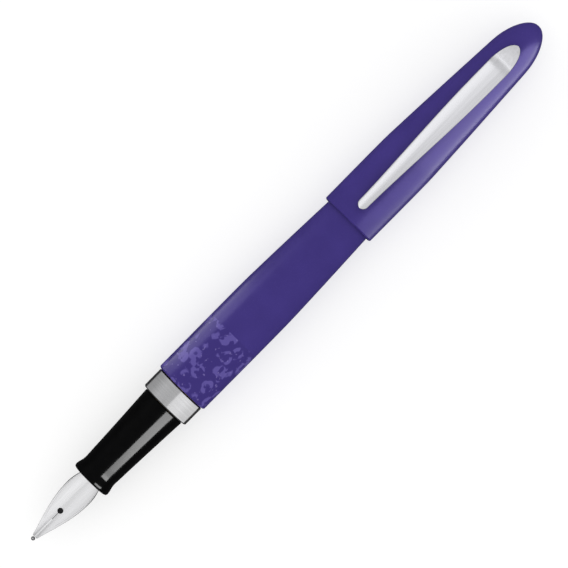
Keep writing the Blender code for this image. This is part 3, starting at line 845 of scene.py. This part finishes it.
def make_feed():
    rings = [feed_ring(s, False) for s in spread_out(FEED_START, FIN_FIRST - FIN_LEAD, count=10)]
    for fin in range(FIN_COUNT):
        start = FIN_FIRST + fin * FIN_PITCH
        end = start + FIN_PITCH / 2
        rings += [feed_ring(start, False), feed_ring(start + FIN_WALL, True),
                  feed_ring(end, True), feed_ring(end + FIN_WALL, False)]
    rings += [feed_ring(s, False) for s in spread_out(MOUTH, HOUSING_FRONT, count=6)]
    rings += [feed_ring(s, False) for s in spread_out(HOUSING_FRONT, FEED_END, count=6)[1:]]
    stands_for(lofted("feed_fine", rings, "feed"), "feed", "section")


# ---------------------------------------------------------------- cap

CAP_RADIUS = reach("cap_shell")
CAP_END = span("cap_shell")[1]
CAP_TAPER_START = 113.0
CAP_TAPER_END = 143.0
CAP_TAPER_DROP = 1.5
CAP_TAPER_POWER = 1.15
CAP_DOME = 144.5
ANCHOR_SIDES = 64

# The clip's tongue, and the slot that it goes through.
CLIP_HINGE = 145.0
TONGUE_HALF_LENGTH = 0.7
TONGUE_HALF_WIDTH = 1.1
TONGUE_BOTTOM = 2.9
SLOT_GAP = 0.3


def cap_radius(station):
    """The cap's outside radius, as in CAD, for what has to follow it."""
    share = max(0.0, station - CAP_TAPER_START) / (CAP_TAPER_END - CAP_TAPER_START)
    dome = max(0.0, station - CAP_DOME) / (CAP_END - CAP_DOME)
    drop = CAP_TAPER_DROP * share ** CAP_TAPER_POWER
    return (CAP_RADIUS - drop) * math.sqrt(max(0.0, 1 - dome * dome))


def hinge_box(gap, top):
    """A box round the tongue, with a gap on its sides and bottom."""
    half_length, half_width = TONGUE_HALF_LENGTH + gap, TONGUE_HALF_WIDTH + gap
    return box_tool((CLIP_HINGE - half_length, -half_width, TONGUE_BOTTOM - gap),
                    (CLIP_HINGE + half_length, half_width, top))


def make_cap():
    shell = fine_turned("cap_shell", "cap", "lacquer", ROUND_SIDES)
    carve(shell, hinge_box(SLOT_GAP, CAP_RADIUS + SLOT_GAP))
    fine_turned("cap_liner", "cap", "liner")
    anchor = fine_turned("clip_anchor", "cap", "grey", ANCHOR_SIDES)
    carve(anchor, hinge_box(SLOT_GAP, CAP_RADIUS + SLOT_GAP))


# ---------------------------------------------------------------- clip

CLIP_TIP, CLIP_ROOT = span("clip")
CLIP_TOP = (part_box("clip")[1].z - AXIS_Z) / MM
CLIP_THICKNESS = 0.9
CLIP_EDGE = 0.12
CLIP_EDGE_OF_HALF_WIDTH = 0.6
CLIP_EDGE_OF_HEIGHT = 0.4
CLIP_EDGE_POINTS = 6
CLIP_CROWN = 0.1
FACE_POINTS = 7

CLIP_TIP_HALF = 1.15
CLIP_SWELL = 1.3
CLIP_WIDEST = 0.8
CLIP_SWELL_POWER = 1.6
CLIP_LEAST_HALF = 0.1
TIP_ROUND = 1.2
ROOT_ROUND = 6.5
TIP_STEPS, BAR_STEPS, ROOT_STEPS = 9, 60, 26

FOOT_HALF = 2.4
CLIP_ROLL = 139.0
SHOULDER_START = CLIP_ROLL + 0.5
SHOULDER_LENGTH = 4.6
ROOT_THICKNESS = 0.5
TONGUE_OVERLAP = 0.4


def clip_half_width(station):
    """Narrow and round at the free end, widest four fifths of the way up, round at the root."""
    share = (station - CLIP_TIP) / (CLIP_ROOT - CLIP_TIP)
    swell = math.sin(QUARTER_TURN * min(1.0, share / CLIP_WIDEST)) ** CLIP_SWELL_POWER
    tip_end = min(1.0, (station - CLIP_TIP) / TIP_ROUND)
    root_end = min(1.0, (CLIP_ROOT - station) / ROOT_ROUND)
    rounding = math.sqrt(1 - (1 - tip_end) ** 2) * math.sqrt(1 - (1 - root_end) ** 2)
    return max(CLIP_LEAST_HALF, (CLIP_TIP_HALF + CLIP_SWELL * swell) * rounding)


def clip_bottom(station):
    """The underside's height: a straight bar with a foot near its tip, down to the cap at its root."""
    straight = CLIP_TOP - CLIP_THICKNESS
    foot = eased(1 - abs(station - CLIP_TIP - FOOT_HALF) / FOOT_HALF)
    shoulder = eased((station - SHOULDER_START) / SHOULDER_LENGTH)
    lowered = straight - (straight - CAP_RADIUS - SLOT_GAP) * foot
    return lowered + (cap_radius(station) + SLOT_GAP - straight) * shoulder


def clip_top(station):
    roll = max(0.0, (station - CLIP_ROLL) / (CLIP_ROOT - CLIP_ROLL))
    end_height = cap_radius(CLIP_ROOT) + SLOT_GAP + ROOT_THICKNESS
    return CLIP_TOP - (CLIP_TOP - end_height) * roll ** 2


def clip_ring(station):
    """A flat bar's section with rounded edges and a very slightly crowned outer face."""
    half, low, high = clip_half_width(station), clip_bottom(station), clip_top(station)
    edge = min(CLIP_EDGE, half * CLIP_EDGE_OF_HALF_WIDTH, (high - low) * CLIP_EDGE_OF_HEIGHT)
    side, bottom, top = half - edge, low + edge, high - edge
    ring = []
    for y, z, turn in ((side, bottom, -90), (side, top, 0), (-side, top, 90), (-side, bottom, 180)):
        for degrees in spread_out(turn, turn + 90, CLIP_EDGE_POINTS):
            angle = math.radians(degrees)
            ring.append((y + edge * math.cos(angle), z + edge * math.sin(angle)))
        if turn == 0:
            ring += [(across, high) for across in spread_out(side, -side, FACE_POINTS + 2)[1:-1]]
    crown = CLIP_CROWN * min(1.0, half)
    return [(station, y, z - crown * (y / half) ** 2 if z > (low + high) / 2 else z)
            for y, z in ring]


def round_stations(start, length, steps):
    """Stations from a rounded end inwards, closest together at the end itself."""
    return [start + length * (1 - math.cos(QUARTER_TURN * i / steps)) for i in range(steps)]


def make_clip():
    stations = round_stations(CLIP_TIP, TIP_ROUND, TIP_STEPS)
    stations += spread_out(CLIP_TIP + TIP_ROUND, CLIP_ROOT - ROOT_ROUND, BAR_STEPS)
    stations += round_stations(CLIP_ROOT, -ROOT_ROUND, ROOT_STEPS)[::-1]
    clip = lofted("clip_fine", [clip_ring(station) for station in stations], "clip")
    carve(clip, hinge_box(0.0, clip_bottom(CLIP_HINGE) + TONGUE_OVERLAP), "UNION")
    stands_for(clip, "clip", "clip_spring")


# ---------------------------------------------------------------- converter

KNURL_COUNT = 30
KNURL_DEPTH = 0.16
KNURL_START = 9.0
KNURL_END = 2.0
KNURL_FADE = 0.6
KNURL_MARGIN = 0.05
KNURL_STEP = 0.4
SIDES_PER_KNURL = 6


def make_knob():
    """The knob, with straight knurling round its grip."""
    outline, closed = meridian("converter_knob")
    start, end = span("converter_knob")
    first, last = start + KNURL_START, end - KNURL_END
    plain = (reach("converter_knob") - KNURL_MARGIN) * MM
    rows = subdivided(refined(outline, closed), closed, along(start), along(end), KNURL_STEP * MM)

    def shape(x, radius, angle):
        station = station_of(x)
        if radius < plain or not first < station < last:
            return radius
        fade = eased(min(station - first, last - station) / KNURL_FADE)
        return radius - KNURL_DEPTH * MM * fade * (0.5 + 0.5 * math.cos(KNURL_COUNT * angle))

    sides = KNURL_COUNT * SIDES_PER_KNURL
    piece = spun("converter_knob_fine", rows, closed, "knob", sides, shape)
    stands_for(piece, "converter_knob", "knob")


def make_converter():
    fine_turned("converter_mouth", "converter", "grey")
    fine_turned("converter_tube", "converter", "clear")
    fine_turned("converter_collar", "converter", "collar")
    fine_turned("piston_head", "piston", "white")
    make_knob()
    for node in ("rod_guide", "piston_rod"):
        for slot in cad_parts[node].material_slots:
            slot.material = MATERIALS["grey"]


make_barrel()
make_section()
make_nib()
make_tipping()
make_feed()
make_cap()
make_clip()
make_converter()


# ---------------------------------------------------------------- camera and floor

# How much the picture takes in at the pen's axis, and how far the pen is turned in it.
PHOTO_SIDE = 120.85
PHOTO_ROLL = math.radians(45.37)
LENS = 200.0
SENSOR = 36.0

# How far the camera aims from the middle of the pen.
AIM_SHIFT = (-0.42, 0.03, 0.0)
CAMERA_DISTANCE = PHOTO_SIDE * LENS / SENSOR
FARTHEST_SEEN = 10.0


def make_camera():
    """Straight down on the clip, through a long lens, with the nib at the lower left."""
    data = bpy.data.cameras.new("camera")
    data.lens = LENS
    data.sensor_width = SENSOR
    data.clip_end = FARTHEST_SEEN
    camera = bpy.data.objects.new("camera", data)
    bpy.context.collection.objects.link(camera)
    middle = (CAD_LOW + CAD_HIGH) / 2
    right = Vector((math.cos(PHOTO_ROLL), -math.sin(PHOTO_ROLL), 0))
    up = Vector((math.sin(PHOTO_ROLL), math.cos(PHOTO_ROLL), 0))
    target = Vector((middle.x, 0, AXIS_Z)) + Vector(AIM_SHIFT) * MM
    camera.location = target + Vector((0, 0, CAMERA_DISTANCE * MM))
    camera.rotation_euler = Matrix((right, up, (0, 0, 1))).transposed().to_euler()
    bpy.context.scene.camera = camera


FLOOR_HALF = 1500.0
FLOOR_GAP = 0.06
FLOOR_GREY = 0.5
FLOOR_GLOW = 0.55
FLOOR_ROUGHNESS = 0.9


def make_floor():
    """A pale matt floor that glows a little, so that the pen's shadow stays faint."""
    bm = bmesh.new()
    bmesh.ops.create_grid(bm, x_segments=1, y_segments=1, size=FLOOR_HALF * MM)
    mesh = bpy.data.meshes.new("floor")
    bm.to_mesh(mesh)
    bm.free()
    material = bpy.data.materials.new("pale_floor")
    material.use_nodes = True
    shader = material.node_tree.nodes["Principled BSDF"]
    shader.inputs["Base Color"].default_value = (FLOOR_GREY, FLOOR_GREY, FLOOR_GREY, 1.0)
    shader.inputs["Roughness"].default_value = FLOOR_ROUGHNESS
    shader.inputs["Specular IOR Level"].default_value = 0.0
    shader.inputs["Emission Color"].default_value = (1.0, 1.0, 1.0, 1.0)
    shader.inputs["Emission Strength"].default_value = FLOOR_GLOW
    mesh.materials.append(material)
    floor = bpy.data.objects.new("floor", mesh)
    bpy.context.collection.objects.link(floor)
    floor.location.z = -FLOOR_GAP * MM
    floor.visible_glossy = False


# ---------------------------------------------------------------- light

# How bright the sky that reflections show is, from straight down (0) through level (0.5) to
# straight up (1).
GLOSSY_SKY = ((0.0, 0.03), (0.5, 0.08), (0.62, 0.14), (0.80, 0.22), (0.95, 0.20), (1.0, 0.18))
SKY_TINT = (1.0, 1.0, 1.02)


def make_world():
    """Even white light, and for reflections a sky that is bright overhead and dark at the sides."""
    world = bpy.data.worlds.new("studio")
    world.use_nodes = True
    bpy.context.scene.world = world
    tree = world.node_tree
    even = tree.nodes["Background"]
    even.inputs["Color"].default_value = (1.0, 1.0, 1.0, 1.0)
    even.inputs["Strength"].default_value = 1.0
    where = tree.nodes.new("ShaderNodeTexCoord")
    parts = tree.nodes.new("ShaderNodeSeparateXYZ")
    tree.links.new(where.outputs["Generated"], parts.inputs["Vector"])
    height = tree.nodes.new("ShaderNodeMapRange")
    height.inputs["From Min"].default_value = -1.0
    tree.links.new(parts.outputs["Z"], height.inputs["Value"])
    ramp = tree.nodes.new("ShaderNodeValToRGB")
    fill_ramp(ramp, [(position, scaled(SKY_TINT, value)) for position, value in GLOSSY_SKY])
    tree.links.new(height.outputs["Result"], ramp.inputs["Fac"])
    reflected = tree.nodes.new("ShaderNodeBackground")
    tree.links.new(ramp.outputs["Color"], reflected.inputs["Color"])
    path = tree.nodes.new("ShaderNodeLightPath")
    mix = tree.nodes.new("ShaderNodeMixShader")
    tree.links.new(path.outputs["Is Glossy Ray"], mix.inputs["Fac"])
    tree.links.new(even.outputs["Background"], mix.inputs[1])
    tree.links.new(reflected.outputs["Background"], mix.inputs[2])
    tree.links.new(mix.outputs["Shader"], tree.nodes["World Output"].inputs["Surface"])


# A lamp's power, in watts, for each unit of brightness and square metre.
RADIANCE_TO_WATTS = 4.0

CARD_DISTANCE = 150.0
CARD_SPREAD = 1 + CARD_DISTANCE / CAMERA_DISTANCE

# In degrees, seen from the axis.
WIDEST_CARD = 120

# Each card is mirrored by one piece. A row holds the card's name, the piece, the stations where the
# card starts and ends, its angles from straight up towards -Y, in degrees, and its brightness.
CARDS = (
    ("nib_left", "nib_fine", -50.0, 45.0, -110, -10, 0.68),
    ("nib_top", "nib_fine", -50.0, 45.0, -10, 10, 0.54),
    ("nib_right", "nib_fine", -50.0, 45.0, 10, 110, 0.62),
    ("tipping_top", "nib_tipping_fine", -60.0, 20.0, -40, 40, 0.60),
    ("grip_front", "grip_section_fine", -30.0, 16.0, 28, 70, 11.0),
    ("grip_rear", "grip_section_fine", 16.0, 45.0, 28, 72, 17.0),
    ("ring_left", "section_ring_fine", 10.0, 75.0, -130, -10, 0.25),
    ("ring_top", "section_ring_fine", 10.0, 75.0, -10, 10, 0.26),
    ("ring_right", "section_ring_fine", 10.0, 75.0, 10, 130, 0.55),
    ("barrel_left", "barrel_shell_fine", 38.0, 73.0, -125, -64, 1.95),
    ("cap_right", "cap_shell_fine", 70.0, 120.0, 38, 130, 1.2),
    ("crown_right", "cap_shell_fine", 120.0, 245.0, 34, 120, 3.1),
    ("clip_top", "clip_fine", 60.0, 165.0, -38, 38, 0.46),
    ("clip_left", "clip_fine", 60.0, 165.0, -16, -1, 0.3),
    ("clip_end", "clip_fine", 165.0, 250.0, -38, 38, 0.34),
    ("clip_far_side", "clip_fine", 40.0, 200.0, -120, -70, 0.45),
    ("clip_near_side", "clip_fine", 40.0, 200.0, 70, 120, 0.45),
)

ROOT_LAMP_SIZE = 260.0
ROOT_LAMP_DISTANCE = 200.0
ROOT_LAMP_LEAN = math.radians(72)
ROOT_LAMP_RADIANCE = 0.5


def make_lamp(name, piece, place, away, across, size_x, size_y, radiance):
    """A rectangular lamp facing back along away, which shows only in one piece's shine."""
    lamp = bpy.data.lights.new(name, "AREA")
    lamp.shape = "RECTANGLE"
    lamp.size = size_x
    lamp.size_y = size_y
    lamp.energy = radiance * size_x * size_y * RADIANCE_TO_WATTS
    card = bpy.data.objects.new(name, lamp)
    card.location = place
    card.rotation_euler = Matrix((across, away.cross(across), away)).transposed().to_euler()
    card.visible_camera = False
    card.visible_diffuse = False
    bpy.context.collection.objects.link(card)
    lit = bpy.data.collections.new(name + "_lights")
    lit.objects.link(bpy.data.objects[piece])
    card.light_linking.receiver_collection = lit


def make_card(name, piece, start, end, low, high, radiance):
    """A lamp beside the pen, facing its axis."""
    middle_x = (CAD_LOW.x + CAD_HIGH.x) / 2
    ends = [middle_x + (along(station) - middle_x) * CARD_SPREAD for station in (start, end)]
    tilt = math.radians((low + high) / 2)
    away = Vector((0.0, -math.sin(tilt), math.cos(tilt)))
    place = Vector((sum(ends) / 2, 0.0, AXIS_Z)) + away * CARD_DISTANCE * MM
    half_opening = math.radians(min(high - low, WIDEST_CARD) / 2)
    width = 2 * CARD_DISTANCE * MM * math.tan(half_opening)
    make_lamp(name, piece, place, away, Vector((1, 0, 0)), ends[1] - ends[0], width, radiance)


def make_root_lamp():
    """A lamp beyond the cap's end, which the rolled root of the clip mirrors."""
    away = Vector((math.sin(ROOT_LAMP_LEAN), 0.0, math.cos(ROOT_LAMP_LEAN)))
    place = Vector((along(CLIP_ROOT), 0.0, AXIS_Z)) + away * ROOT_LAMP_DISTANCE * MM
    size = ROOT_LAMP_SIZE * MM
    make_lamp("root_lamp", "clip_fine", place, away, Vector((0, 1, 0)), size, size, ROOT_LAMP_RADIANCE)


bpy.context.scene.view_settings.view_transform = "Standard"
make_camera()
make_floor()
make_world()
for card in CARDS:
    make_card(*card)
make_root_lamp()
